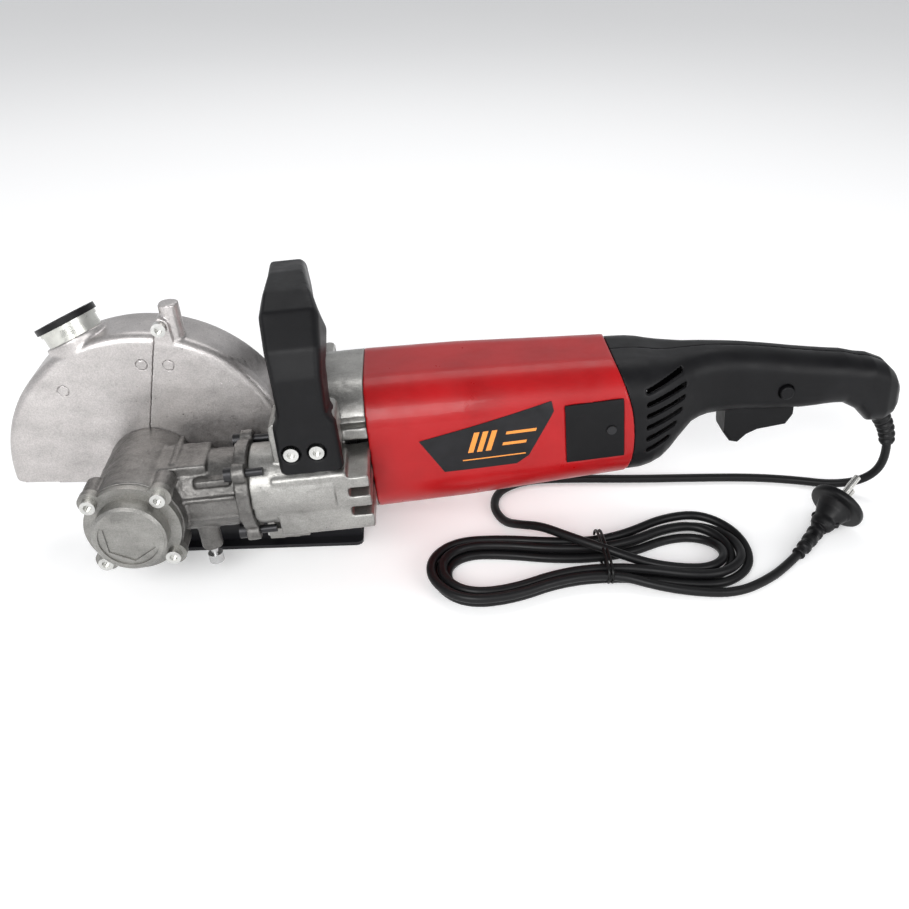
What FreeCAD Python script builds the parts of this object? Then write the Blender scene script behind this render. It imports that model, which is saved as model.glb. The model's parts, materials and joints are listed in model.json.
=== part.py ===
import FreeCAD, Part
import math
import os

V = FreeCAD.Vector
OUT = "parts"

# ---------------------------------------------------------------- driving dimensions (mm)
# Tool frame: origin on the spindle axis in the blades' middle plane, +X along the motor axis
# to the rear handle, +Y away from the gear head, +Z to the top of the guard.
# The row frame is the same frame turned about the spindle so that the shoe's sole is level.
TILT_DEG = 4.9              # the motor axis rises to the rear by this much when it stands
SOLE_DROP = 58.5            # spindle axis above the sole

FIT = 0.05                  # radial running clearance of a shaft in its bearing
AIR = 0.6                   # clearance between parts that pass each other

MOTOR_Y = 5.0               # motor axis
LAY_Y = -52.0               # layshaft axis, in the neck

GUARD_R = 92.0              # half-moon guard
GUARD_HALF = 20.0
GUARD_WALL = 3.2
GUARD_EDGE = 6.5            # rounding of the rim
GUARD_SLOPE_DEG = -7.0      # lower edge of the guard
GUARD_EDGE_Z = -12.0        # its height under the spindle
SEAM_X = -5.5               # the seam between its halves, at the spindle's height
SEAM_LEAN = 0.283           # how far the seam moves back for each unit of height
LUG_X, LUG_Z = 24.5, 94.7   # clamping lug over the seam
LUG_R = 5.4
TOWER_X, TOWER_R, TOWER_TOP = 30.5, 6.2, 107.0

PORT_ANGLE_DEG = 111.0
PORT_LEAN_DEG = 11.0        # it leans away from the gear head
PORT_BASE = 88.0            # where its axis crosses the guard's middle plane
PORT_R = 17.2
PORT_WALL = 1.6
PORT_TOP = 102.7            # distance of its mouth, along the axis
PORT_FLANGE_R = 18.2
PORT_RUBBER = 3.8

HEAD_R = 29.0               # gear head, around the spindle
HEAD_FRONT_Y = -84.0
HEAD_WALL = 4.0
SPIGOT_R = 22.5             # seats the guard
SPIGOT_REACH = 4.0
NECK_R = 24.0               # around the layshaft
NECK_BORE_R = 15.0
NECK_END_X = 68.0

CAP_HALF = 20.0             # half the spacing of the cap screws
CAP_EAR_R = 7.0
CAP_THICK = 5.0
CAP_FLOOR = 3.4             # of its closed front, the hexagonal recess included
CAP_R = 21.5
CAP_LENGTH = 16.0
SCREW_R = 2.5               # M5 shank
SCREW_HEAD_R = 4.4
SCREW_HEAD_H = 4.6

CASTING_START_X = 97.0      # round part of the front casting
CASTING_END_X = 139.0

HOUSING_END_X = 306.0       # rear end of the red housing at its sides
HOUSING_JOIN_R = 110.0      # its rear edge is an arc seen from the side
HOUSING_WALL = 3.0
FRONT_HALF, FRONT_CORNER = 46.5, 30.0
REAR_HALF, REAR_CORNER = 40.0, 26.0

SHAFT_R = 6.0               # armature shaft
LAY_R = 5.0
SPINDLE_R = 7.0
ARBOR_R = 10.0              # blade bore 20
STATOR_R = 37.0
STATOR_BORE_R = 21.5
CORE_R = 20.8

MODULE = 2.0                # spur train in the front casting
TEETH_PINION, TEETH_IDLER, TEETH_LAY = 10, 17, 14
ADDENDUM = 0.7 * MODULE
GEAR_WIDTH = 10.0
GEAR_X = 102.0
BEVEL_MODULE = 1.75
TEETH_BEVEL_PINION, TEETH_BEVEL_GEAR = 10, 26
BEVEL_FACE = 7.0

BOW_THICK = 24.0            # bow handle
BOW_WIDTH = 27.0
BOW_X = 106.5
BOW_FAR_SHIFT = -9.0        # the far leg stands this much further forward
BOW_NEAR_Y = -66.0
BOW_FAR_Y = 62.0
BOW_TOP_Z = 106.0
BOW_SCREW_Z = 30.0
BOW_SCREW_XS = (96.5, 111.5)

TRIGGER_X0, TRIGGER_X1 = 373.0, 419.0
TRIGGER_SWING_GAP = 3.4     # its front edge swings forward when it is pulled
LOCK_X, LOCK_Z, LOCK_R = 410.0, 3.5, 4.6
# x, z and the half width of the handle's screw posts
HANDLE_SCREWS = [(350, -8, 15.0), (440, 12, 9.0), (462, -12, 9.0), (362, 24, 11.0)]

# outline of the label, and the brush covers' box, seen from the side
LABEL = [(170, 11), (254, 27), (255, 21), (238, -8), (230, -13), (184, -13)]
COVER_X0, COVER_X1, COVER_Z0, COVER_Z1 = 262.0, 299.0, -17.0, 23.0

SHOE_X0, SHOE_X1 = -47.0, 130.0
SHOE_Y0, SHOE_Y1 = -32.0, 36.0
SHOE_THICK = 2.5
SHOE_WALL_H = 21.0
SHOE_WALL_Y = -24.0
SHOE_PIVOT = (72.0, -47.0)  # x and z in the row frame

CORD_D = 6.0
PIN_R = 2.4


def cyl(x, y, z, axis, radius, length):
    return Part.makeCylinder(radius, length, V(x, y, z), V(*axis))


def ring(x, y, z, axis, outer, inner, length):
    return cyl(x, y, z, axis, outer, length).cut(cyl(x, y, z, axis, inner, length))


def block(xa, xb, ya, yb, za, zb):
    corner = V(min(xa, xb), min(ya, yb), min(za, zb))
    return Part.makeBox(abs(xb - xa), abs(yb - ya), abs(zb - za), corner)


def fuse(*shapes):
    solid = shapes[0].fuse(list(shapes[1:]))
    return solid.removeSplitter()


def prism_xz(points, y0, y1):
    """A polygon in the XZ plane, pulled along Y."""
    wire = Part.makePolygon([V(x, y0, z) for x, z in points + points[:1]])
    return Part.Face(wire).extrude(V(0, y1 - y0, 0))


def section(x, y, z, half_y, half_z, corner):
    """A rounded rectangle in the plane at x."""
    c = min(corner, half_y - 0.5, half_z - 0.5)
    k = c * math.sqrt(0.5)
    a, b = half_y - c, half_z - c
    spots = []
    for sy, sz in ((1, 1), (-1, 1), (-1, -1), (1, -1)):
        flat = V(x, y + sy * half_y, z + sz * b)
        mid = V(x, y + sy * (a + k), z + sz * (b + k))
        top = V(x, y + sy * a, z + sz * half_z)
        spots.append((flat, mid, top) if sy * sz > 0 else (top, mid, flat))
    edges = []
    for i, (p, m, q) in enumerate(spots):
        edges.append(Part.Arc(p, m, q).toShape())
        edges.append(Part.makeLine(q, spots[(i + 1) % 4][0]))
    return Part.Wire(edges)


def slopes(xs, ys):
    """Slopes at the stations that keep a cubic curve from overshooting."""
    gaps = [(ys[i + 1] - ys[i]) / (xs[i + 1] - xs[i]) for i in range(len(xs) - 1)]
    out = [gaps[0]]
    for a, b in zip(gaps, gaps[1:]):
        out.append(0.0 if a * b <= 0 else 2 * a * b / (a + b))
    return out + [gaps[-1]]


def blended_rows(rows, step):
    """More sections between the given ones, on smooth curves through them."""
    xs = [row[0] for row in rows]
    columns = [[row[k] for row in rows] for k in range(1, 6)]
    tangents = [slopes(xs, column) for column in columns]
    out = []
    for i in range(len(rows) - 1):
        span = xs[i + 1] - xs[i]
        count = max(1, round(span / step))
        for j in range(count):
            t = j / count
            values = []
            for column, slope in zip(columns, tangents):
                h00, h10 = (1 + 2 * t) * (1 - t) ** 2, t * (1 - t) ** 2
                h01, h11 = t * t * (3 - 2 * t), t * t * (t - 1)
                values.append(h00 * column[i] + h10 * span * slope[i]
                              + h01 * column[i + 1] + h11 * span * slope[i + 1])
            out.append((xs[i] + t * span, *values))
    return out + [rows[-1]]


def loft(rows, grow=0.0, step=400.0):
    """A body through rounded sections (x, y, z, half_y, half_z, corner), grown all round."""
    wires = [section(x, y, z, hy + grow, hz + grow, max(c + grow, 1.0))
             for x, y, z, hy, hz, c in blended_rows(rows, step)]
    return Part.makeLoft(wires, True, True)


def hexagon(x, y, z, across, axis, length):
    r = across / math.sqrt(3)
    pts = []
    for i in range(7):
        a = math.radians(60 * i + 30)
        if axis == "y":
            pts.append(V(x + r * math.cos(a), y, z + r * math.sin(a)))
        else:
            pts.append(V(x, y + r * math.cos(a), z + r * math.sin(a)))
    face = Part.Face(Part.makePolygon(pts))
    return face.extrude(V(0, length, 0) if axis == "y" else V(length, 0, 0))


def socket_screw(x, y, z, axis, shank):
    """Socket screw: its head stands out against axis from the seat at (x, y, z)."""
    d = V(*axis)
    head = Part.makeCylinder(SCREW_HEAD_R, SCREW_HEAD_H, V(x, y, z) - d * SCREW_HEAD_H, d)
    body = Part.makeCylinder(SCREW_R, shank, V(x, y, z), d)
    hollow = Part.makeCylinder(2.3, 2.6, V(x, y, z) - d * SCREW_HEAD_H, d)
    return head.fuse(body).removeSplitter().cut(hollow)


def group(solids):
    return Part.makeCompound(solids)


# ---------------------------------------------------------------- gears
def involute(angle):
    return math.tan(angle) - angle


def tooth_outline(teeth, module, addendum, dedendum, backlash):
    """Half-tooth points (radius, half angle) of an involute tooth, root to tip."""
    pressure = math.radians(20)
    pitch = module * teeth / 2
    base = pitch * math.cos(pressure)
    root, tip = pitch - dedendum, pitch + addendum
    half = math.pi / (2 * teeth) - backlash / (2 * pitch)
    points = [(root, half + involute(pressure))]
    steps = 6
    start = max(base, root)
    for i in range(steps + 1):
        r = start + (tip - start) * i / steps
        points.append((r, half + involute(pressure) - involute(math.acos(min(1, base / r)))))
    return points if start > root + 1e-6 else points[1:]


def spur_outline(teeth, module, addendum, backlash=0.24, phase=0.0):
    dedendum = 1.25 * module
    flank = tooth_outline(teeth, module, addendum, dedendum, backlash)
    outline = []
    for i in range(teeth):
        middle = phase + 2 * math.pi * i / teeth
        outline += [(r, middle - a) for r, a in flank]
        outline += [(r, middle + a) for r, a in reversed(flank)]
    return outline


def spur_gear(x, y, z, teeth, width, bore, phase):
    outline = spur_outline(teeth, MODULE, ADDENDUM, phase=phase)
    pts = [V(x, y + r * math.cos(a), z + r * math.sin(a)) for r, a in outline]
    body = Part.Face(Part.makePolygon(pts + pts[:1])).extrude(V(width, 0, 0))
    return body.cut(cyl(x - 1, y, z, (1, 0, 0), bore, width + 2))


def bevel_gear(teeth, mate, phase, bore, back, hub_r):
    """Straight bevel gear about +X with its pitch cone's apex at the origin.

    Each gap is a planar involute gap on the back cone, shrunk towards the apex."""
    cone = math.atan2(teeth, mate)
    sin_c, cos_c = math.sin(cone), math.cos(cone)
    pitch = BEVEL_MODULE * teeth / 2
    axial = pitch / math.tan(cone)
    near = 1 - BEVEL_FACE * sin_c / pitch
    addendum, dedendum, rim = 0.75 * BEVEL_MODULE, 1.15 * BEVEL_MODULE, 1.6

    def on_back(rise):
        return axial - rise * sin_c, pitch + rise * cos_c

    tip, heel = on_back(addendum), on_back(-dedendum - rim)
    profile = [tip, heel, (heel[0], bore), (heel[0] * near, bore),
               (heel[0] * near, heel[1] * near), (tip[0] * near, tip[1] * near)]
    face = Part.Face(Part.makePolygon([V(h, r, 0) for h, r in profile + profile[:1]]))
    blank = face.revolve(V(0, 0, 0), V(1, 0, 0), 360)
    virtual_teeth = teeth / cos_c
    virtual = pitch / cos_c
    flank = tooth_outline(virtual_teeth, BEVEL_MODULE, addendum, dedendum, 0.3)
    flank.append((flank[-1][0] + 1.5, flank[-1][1] - 0.01))
    half_gap = math.pi / virtual_teeth
    left = [(r * math.sin(half_gap - a), r * math.cos(half_gap - a) - virtual) for r, a in flank]
    outline = [(-u, v) for u, v in reversed(left)] + left
    corners = []
    for u, rise in outline:
        h, r = on_back(rise)
        corners.append(V(h, r, u))
    wires = [Part.makePolygon([c * k for c in corners + corners[:1]]) for k in (1.04, near * 0.96)]
    gap = Part.makeLoft(wires, True, True)
    gaps = []
    for i in range(teeth):
        turned = gap.copy()
        turned.rotate(V(0, 0, 0), V(1, 0, 0), math.degrees(phase) + 360.0 * (i + 0.5) / teeth)
        gaps.append(turned)
    solid = blank.cut(gaps)
    hub = Part.makeCylinder(hub_r, back, V(heel[0] - 0.5, 0, 0), V(1, 0, 0))
    hub = hub.cut(Part.makeCylinder(bore, back + 2, V(heel[0] - 1, 0, 0), V(1, 0, 0)))
    return fuse(solid, hub)


def idler_place():
    """The idler's centre: in mesh with the pinion and the layshaft gear."""
    a = MODULE * (TEETH_PINION + TEETH_IDLER) / 2
    b = MODULE * (TEETH_LAY + TEETH_IDLER) / 2
    d = MOTOR_Y - LAY_Y
    along = (a * a - b * b + d * d) / (2 * d)
    return MOTOR_Y - along, -math.sqrt(a * a - along * along)


IDLER_Y, IDLER_Z = idler_place()


def mesh_phase(teeth, other_teeth, other_phase, direction):
    """Phase of a gear whose partner lies in direction (radians) from the other's centre."""
    turned = (direction - other_phase) * other_teeth
    return direction + math.pi + (math.pi + turned) / teeth


# ---------------------------------------------------------------- drive train
def train_phases():
    pinion = 0.0
    to_idler = math.atan2(IDLER_Z, IDLER_Y - MOTOR_Y)
    idler = mesh_phase(TEETH_IDLER, TEETH_PINION, pinion, to_idler)
    to_lay = math.atan2(-IDLER_Z, LAY_Y - IDLER_Y)
    lay = mesh_phase(TEETH_LAY, TEETH_IDLER, idler, to_lay)
    return pinion, idler, lay


def make_armature(parts):
    y = MOTOR_Y
    shaft = fuse(cyl(99, y, 0, (1, 0, 0), SHAFT_R, 20),
                 cyl(119, y, 0, (1, 0, 0), SHAFT_R, 148),
                 cyl(267, y, 0, (1, 0, 0), 4.0, 12))
    parts["armature_shaft"] = shaft
    phase = train_phases()[0]
    parts["motor_pinion"] = spur_gear(GEAR_X, y, 0, TEETH_PINION, GEAR_WIDTH, SHAFT_R, phase)
    core = cyl(172, y, 0, (1, 0, 0), CORE_R, 50).cut(cyl(170, y, 0, (1, 0, 0), SHAFT_R, 54))
    for i in range(12):
        a = 2 * math.pi * i / 12
        slot = block(170, 224, -1.3, 1.3, CORE_R - 5, CORE_R + 2)
        slot.rotate(V(0, 0, 0), V(1, 0, 0), math.degrees(a))
        slot.translate(V(0, y, 0))
        core = core.cut(slot)
    parts["armature_core"] = core
    ends = []
    for x, length in ((162, 10), (222, 10)):
        end = ring(x, y, 0, (1, 0, 0), 18.5, SHAFT_R, length)
        ends.append(end.makeFillet(2.5, [e for e in end.Edges if e.Length > 110]))
    parts["armature_windings"] = group(ends)
    commutator = ring(236, y, 0, (1, 0, 0), 14.0, SHAFT_R, 19)
    for i in range(24):
        gap = block(237, 256, -0.3, 0.3, 13.0, 15)
        gap.rotate(V(0, 0, 0), V(1, 0, 0), 15 * i)
        gap.translate(V(0, y, 0))
        commutator = commutator.cut(gap)
    parts["commutator"] = commutator
    hub = ring(140, y, 0, (1, 0, 0), 11, SHAFT_R, 15)
    plate = ring(140, y, 0, (1, 0, 0), 36, 11, 2)
    blades = []
    for i in range(11):
        blade = block(142, 153, -1.0, 1.0, 10.5, 35.5)
        blade.rotate(V(147, 0, 22), V(0, 0, 1), 18)
        blade.rotate(V(0, 0, 0), V(1, 0, 0), 360.0 * i / 11)
        blade.translate(V(0, y, 0))
        blades.append(blade.common(cyl(141, y, 0, (1, 0, 0), 36, 14)))
    parts["cooling_fan"] = fuse(hub, plate, *blades)


def make_idler(parts):
    phase = train_phases()[1]
    gear = spur_gear(GEAR_X, IDLER_Y, IDLER_Z, TEETH_IDLER, GEAR_WIDTH, 4.0 + FIT, phase)
    parts["idler_gear"] = gear
    parts["idler_axle"] = cyl(96, IDLER_Y, IDLER_Z, (1, 0, 0), 4.0, 22)


def make_layshaft(parts):
    y = LAY_Y
    pinion_end = BEVEL_MODULE * TEETH_BEVEL_GEAR / 2
    shaft = fuse(cyl(pinion_end - 6.5, y, 0, (1, 0, 0), 3.0, 6.5 + 3),
                 cyl(pinion_end + 2.4, y, 0, (1, 0, 0), LAY_R, 120 - pinion_end - 2.4))
    parts["layshaft"] = shaft
    phase = train_phases()[2]
    parts["layshaft_gear"] = spur_gear(GEAR_X, y, 0, TEETH_LAY, GEAR_WIDTH, LAY_R, phase)
    pinion = bevel_gear(TEETH_BEVEL_PINION, TEETH_BEVEL_GEAR, 0.0, 3.0, 1.5, 5.2)
    pinion.translate(V(0, y, 0))
    parts["bevel_pinion"] = pinion


def make_spindle(parts):
    """Spindle along Y with the bevel gear, flanges and nut; the gear's teeth face -Y."""
    stem = fuse(cyl(0, HEAD_FRONT_Y - CAP_LENGTH + CAP_FLOOR + AIR, 0, (0, 1, 0), 6.0, 16.5),
                cyl(0, -82, 0, (0, 1, 0), SPINDLE_R, 82 - 16.2),
                cyl(0, -16.2, 0, (0, 1, 0), 8.0, 4.2),
                cyl(0, -12, 0, (0, 1, 0), 7.0, 30))
    parts["spindle"] = stem
    phase = math.pi / TEETH_BEVEL_GEAR
    gear = bevel_gear(TEETH_BEVEL_GEAR, TEETH_BEVEL_PINION, phase, SPINDLE_R, 7.0, 15.0)
    gear.rotate(V(0, 0, 0), V(0, 0, 1), 90)
    gear.translate(V(0, LAY_Y, 0))
    parts["bevel_gear"] = gear
    inner = fuse(cyl(0, -12, 0, (0, 1, 0), 18, 4), cyl(0, -8, 0, (0, 1, 0), ARBOR_R, 16))
    parts["inner_flange"] = inner.cut(cyl(0, -13, 0, (0, 1, 0), 7.0, 30))
    outer = ring(0, 8.2, 0, (0, 1, 0), 18, 7.0, 4)
    parts["outer_flange"] = outer
    nut = hexagon(0, 12.2, 0, 22, "y", 5.5).cut(cyl(0, 12, 0, (0, 1, 0), 7.0, 7))
    parts["spindle_nut"] = nut


def make_bearings(parts):
    parts["spindle_bearing"] = ring(0, -33, 0, (0, 1, 0), 17.0, SPINDLE_R + FIT, 9)
    end = HEAD_FRONT_Y - CAP_LENGTH + CAP_FLOOR
    parts["spindle_end_bearing"] = ring(0, end, 0, (0, 1, 0), 11.0, 6.0 + FIT, 11)
    parts["layshaft_bearings"] = group([
        ring(32, LAY_Y, 0, (1, 0, 0), NECK_BORE_R, LAY_R + FIT, 9),
        ring(57, LAY_Y, 0, (1, 0, 0), NECK_BORE_R, LAY_R + FIT, 9),
        ring(114, LAY_Y, 0, (1, 0, 0), 9.5, LAY_R + FIT, 5)])
    parts["motor_bearings"] = group([
        ring(118, MOTOR_Y, 0, (1, 0, 0), 14.0, SHAFT_R + FIT, 10),
        ring(268, MOTOR_Y, 0, (1, 0, 0), 11.0, 4.0 + FIT, 9)])


# ---------------------------------------------------------------- motor
def make_motor(parts):
    y = MOTOR_Y
    core = cyl(172, y, 0, (1, 0, 0), STATOR_R, 50)
    flats = block(170, 224, y - 34, y + 34, -34, 34)
    core = core.common(flats).cut(cyl(170, y, 0, (1, 0, 0), STATOR_BORE_R, 54))
    for side in (-1, 1):
        window = block(171, 223, y - 13, y + 13, side * 26.5 - 3.5, side * 26.5 + 3.5)
        core = core.cut(window)
    parts["stator_core"] = core
    coils = []
    for side in (-1, 1):
        coils.append(block(162, 232, y - 12.6, y + 12.6, side * 26.5 - 3.1, side * 26.5 + 3.1))
    parts["field_coils"] = group(coils)
    baffle = ring(156, y, 0, (1, 0, 0), 41.5, 30, 2.2)
    parts["fan_baffle"] = baffle
    holders, brushes, springs = [], [], []
    for side in (-1, 1):
        holder = block(241, 251, y - 5, y + 5, 16, 34)
        holder = holder.cut(block(242.2, 249.8, y - 3.4, y + 3.4, 15, 32.8))
        brush = block(242.3, 249.7, y - 3.3, y + 3.3, 14.3, 26)
        spring = cyl(246, y, 26, (0, 0, 1), 2.4, 6.8)
        for item, rest in ((holder, holders), (brush, brushes), (spring, springs)):
            item.rotate(V(246, y, 0), V(1, 0, 0), 90 * side)
            rest.append(item)
    parts["brush_holders"] = group(holders)
    parts["carbon_brushes"] = group(brushes)
    parts["brush_springs"] = group(springs)


# ---------------------------------------------------------------- guard
def guard_body(shrink=0.0):
    """The half-moon: a disc cut by its sloping lower edge."""
    r = GUARD_R - shrink
    half = GUARD_HALF - shrink
    disc = cyl(0, -half, 0, (0, 1, 0), r, 2 * half)
    edge = max(GUARD_EDGE - shrink, 0.8)
    disc = disc.makeFillet(edge, [e for e in disc.Edges if e.Length > 6 * half])
    slope = math.tan(math.radians(GUARD_SLOPE_DEG))
    span = GUARD_R + 20
    low = 20 if shrink else 0
    keep = prism_xz([(-span, GUARD_EDGE_Z - span * slope - low), (span, GUARD_EDGE_Z + span * slope - low),
                     (span, span), (-span, span)], -60, 60)
    return disc.common(keep)


def port_cylinder(radius, start, end):
    """A cylinder on the dust port's axis, between two distances along it."""
    a, lean = math.radians(PORT_ANGLE_DEG), math.radians(PORT_LEAN_DEG)
    out = V(math.cos(a), 0, math.sin(a))
    axis = out * math.cos(lean) + V(0, math.sin(lean), 0)
    return Part.makeCylinder(radius, end - start, out * PORT_BASE + axis * (start - PORT_BASE), axis)


def make_guard(parts):
    shell = guard_body().cut(guard_body(GUARD_WALL))
    shell = shell.cut(cyl(0, -GUARD_HALF - 1, 0, (0, 1, 0), SPIGOT_R, GUARD_WALL + 3))
    shell = shell.cut(cyl(0, GUARD_HALF - GUARD_WALL - 2, 0, (0, 1, 0), 27.0, GUARD_WALL + 4))
    shell = shell.cut(port_cylinder(PORT_R - PORT_WALL, PORT_BASE - 6, PORT_TOP))
    lug = fuse(cyl(LUG_X, -GUARD_HALF + 0.5, LUG_Z, (0, 1, 0), LUG_R, 12),
               block(LUG_X - LUG_R, LUG_X + LUG_R, -GUARD_HALF + 0.5, -GUARD_HALF + 12.5, 80, LUG_Z),
               block(LUG_X - 2.4 * LUG_R, LUG_X + 1.2 * LUG_R, -GUARD_HALF + 2, -GUARD_HALF + 12, 80, 88.5))
    tower = cyl(TOWER_X, -GUARD_HALF + 8.5, 80, (0, 0, 1), TOWER_R, TOWER_TOP - 80)
    screw_hole = cyl(LUG_X, -GUARD_HALF, LUG_Z, (0, 1, 0), SCREW_R, 15)
    reach = GUARD_R + 30
    front_side = prism_xz([(SEAM_X - SEAM_LEAN * reach, -reach), (SEAM_X + SEAM_LEAN * reach, reach),
                           (-reach, reach), (-reach, -reach)], -60, 60)
    inside = guard_body(GUARD_WALL)
    clamps = fuse(lug, tower).cut(inside).cut(front_side).cut(screw_hole)
    rear = fuse(shell.cut(front_side), clamps)
    collar = port_cylinder(PORT_R + 2.2, PORT_BASE - 6, PORT_BASE + 5).cut(
        port_cylinder(PORT_R, PORT_BASE - 6, PORT_TOP)).cut(inside)
    front = fuse(shell.common(front_side), collar.common(front_side))
    parts["guard_front"] = front
    parts["guard_rear"] = rear
    parts["guard_lug_screw"] = socket_screw(LUG_X, -GUARD_HALF + 0.5, LUG_Z, (0, 1, 0), 11)


def make_port(parts):
    tube = fuse(port_cylinder(PORT_R, PORT_BASE, PORT_TOP),
                port_cylinder(PORT_FLANGE_R, PORT_TOP - 2.5, PORT_TOP))
    bore = port_cylinder(PORT_R - PORT_WALL, PORT_BASE - 6, PORT_TOP + 10)
    parts["dust_port"] = largest(tube.cut(bore).cut(guard_body()))
    rubber = port_cylinder(PORT_FLANGE_R + 1.3, PORT_TOP, PORT_TOP + PORT_RUBBER)
    parts["dust_port_ring"] = rubber.cut(bore)


# ---------------------------------------------------------------- gear head
def cap_screw_spots():
    return [(sx * CAP_HALF, sz * CAP_HALF) for sx in (-1, 1) for sz in (-1, 1)]


def make_gear_head(parts):
    depth = -GUARD_HALF - HEAD_FRONT_Y
    barrel = cyl(0, HEAD_FRONT_Y, 0, (0, 1, 0), HEAD_R, depth)
    ears = [cyl(x, HEAD_FRONT_Y, z, (0, 1, 0), CAP_EAR_R - 0.5, 15) for x, z in cap_screw_spots()]
    neck = cyl(0, LAY_Y, 0, (1, 0, 0), NECK_R, NECK_END_X)
    collar = cyl(NECK_END_X - 8, LAY_Y, 0, (1, 0, 0), NECK_R + 4, 8)
    spigot = cyl(0, -GUARD_HALF, 0, (0, 1, 0), SPIGOT_R, SPIGOT_REACH)
    flange_ears = [cyl(NECK_END_X - 8, y, z, (1, 0, 0), 6.0, 8) for y, z in flange_screw_spots()]
    boss = cyl(36, LAY_Y - 12, -34, (0, 0, 1), 6.5, 20)
    body = fuse(barrel, neck, collar, spigot, boss, *ears, *flange_ears)
    room = fuse(cyl(0, HEAD_FRONT_Y, 0, (0, 1, 0), HEAD_R - HEAD_WALL, 84 - 35),
                cyl(0, -36, 0, (0, 1, 0), 17.0, 12),
                cyl(0, -25, 0, (0, 1, 0), 11.0, 12),
                cyl(10, LAY_Y, 0, (1, 0, 0), NECK_BORE_R, NECK_END_X))
    body = body.cut(room)
    for x, z in cap_screw_spots():
        body = body.cut(cyl(x, HEAD_FRONT_Y - 1, z, (0, 1, 0), SCREW_R, 14))
    for y, z in flange_screw_spots():
        body = body.cut(cyl(NECK_END_X - 10, y, z, (1, 0, 0), SCREW_R, 14))
    body = body.cut(cyl(36, LAY_Y - 12, -35, (0, 0, 1), PIN_R + FIT, 40))
    parts["gear_head"] = body


def flange_screw_spots():
    r = NECK_R + 4.5
    return [(LAY_Y + r * math.cos(math.radians(a)), r * math.sin(math.radians(a)))
            for a in (45, 135, 238, 315)]


def make_cap(parts):
    y1 = HEAD_FRONT_Y
    y0 = y1 - CAP_THICK
    plate = cyl(0, y0, 0, (0, 1, 0), HEAD_R - 1, CAP_THICK)
    ears = [cyl(x, y0, z, (0, 1, 0), CAP_EAR_R, CAP_THICK) for x, z in cap_screw_spots()]
    front = y1 - CAP_LENGTH
    barrel = cyl(0, front, 0, (0, 1, 0), CAP_R, CAP_LENGTH)
    barrel = barrel.makeChamfer(1.6, [e for e in barrel.Edges if abs(e.BoundBox.YMax - front) < 0.01])
    cap = fuse(plate, barrel, *ears)
    cap = cap.cut(cyl(0, front - 0.01, 0, (0, 1, 0), CAP_R - 4.0, 1.0))
    cap = cap.cut(hexagon(0, front, 0, 27, "y", 1.9))
    cap = cap.cut(cyl(0, front + CAP_FLOOR, 0, (0, 1, 0), 11.0, CAP_LENGTH))
    for x, z in cap_screw_spots():
        cap = cap.cut(cyl(x, y0 - 1, z, (0, 1, 0), SCREW_R, CAP_THICK + 2))
    parts["bearing_cap"] = cap
    parts["cap_screws"] = group([socket_screw(x, y0, z, (0, 1, 0), CAP_THICK + 11)
                                 for x, z in cap_screw_spots()])
    parts["flange_screws"] = group([socket_screw(NECK_END_X - 8, y, z, (1, 0, 0), 18)
                                    for y, z in flange_screw_spots()])


# ---------------------------------------------------------------- front casting
def casting_outer():
    body = loft([(CASTING_START_X, MOTOR_Y, 0, 44.0, 44.0, 30),
                 (CASTING_START_X + 6, MOTOR_Y, 0, 46.5, 46.5, 30),
                 (CASTING_END_X, MOTOR_Y, 0, 46.5, 46.5, 30)])
    case = cyl(NECK_END_X, LAY_Y, 0, (1, 0, 0), NECK_R + 1, 50)
    web = block(CASTING_START_X, 118, LAY_Y, MOTOR_Y, -NECK_R - 1, NECK_R + 1)
    near_pad = block(84, 124, BOW_NEAR_Y, -38, 17, 47)
    near_pad = near_pad.makeFillet(5, [e for e in near_pad.Edges if abs(e.BoundBox.YLength - 28) < 0.1
                                       and e.BoundBox.XLength < 0.1 and e.BoundBox.ZLength < 0.1])
    far_pad = block(84 + 13, 116, 40, BOW_FAR_Y, 17, 38)
    panel = block(NECK_END_X + 14, CASTING_END_X, -75, -35, -27, 15)
    panel = panel.makeFillet(4, [e for e in panel.Edges if e.BoundBox.XLength > 10 and e.BoundBox.YMax < -70])
    tab = fuse(block(NECK_END_X, 73, -48, -40, -44, -18), block(NECK_END_X, 94, -48, -40, -46, -38))
    return fuse(body, case, web, near_pad, far_pad, panel, tab)


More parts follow.
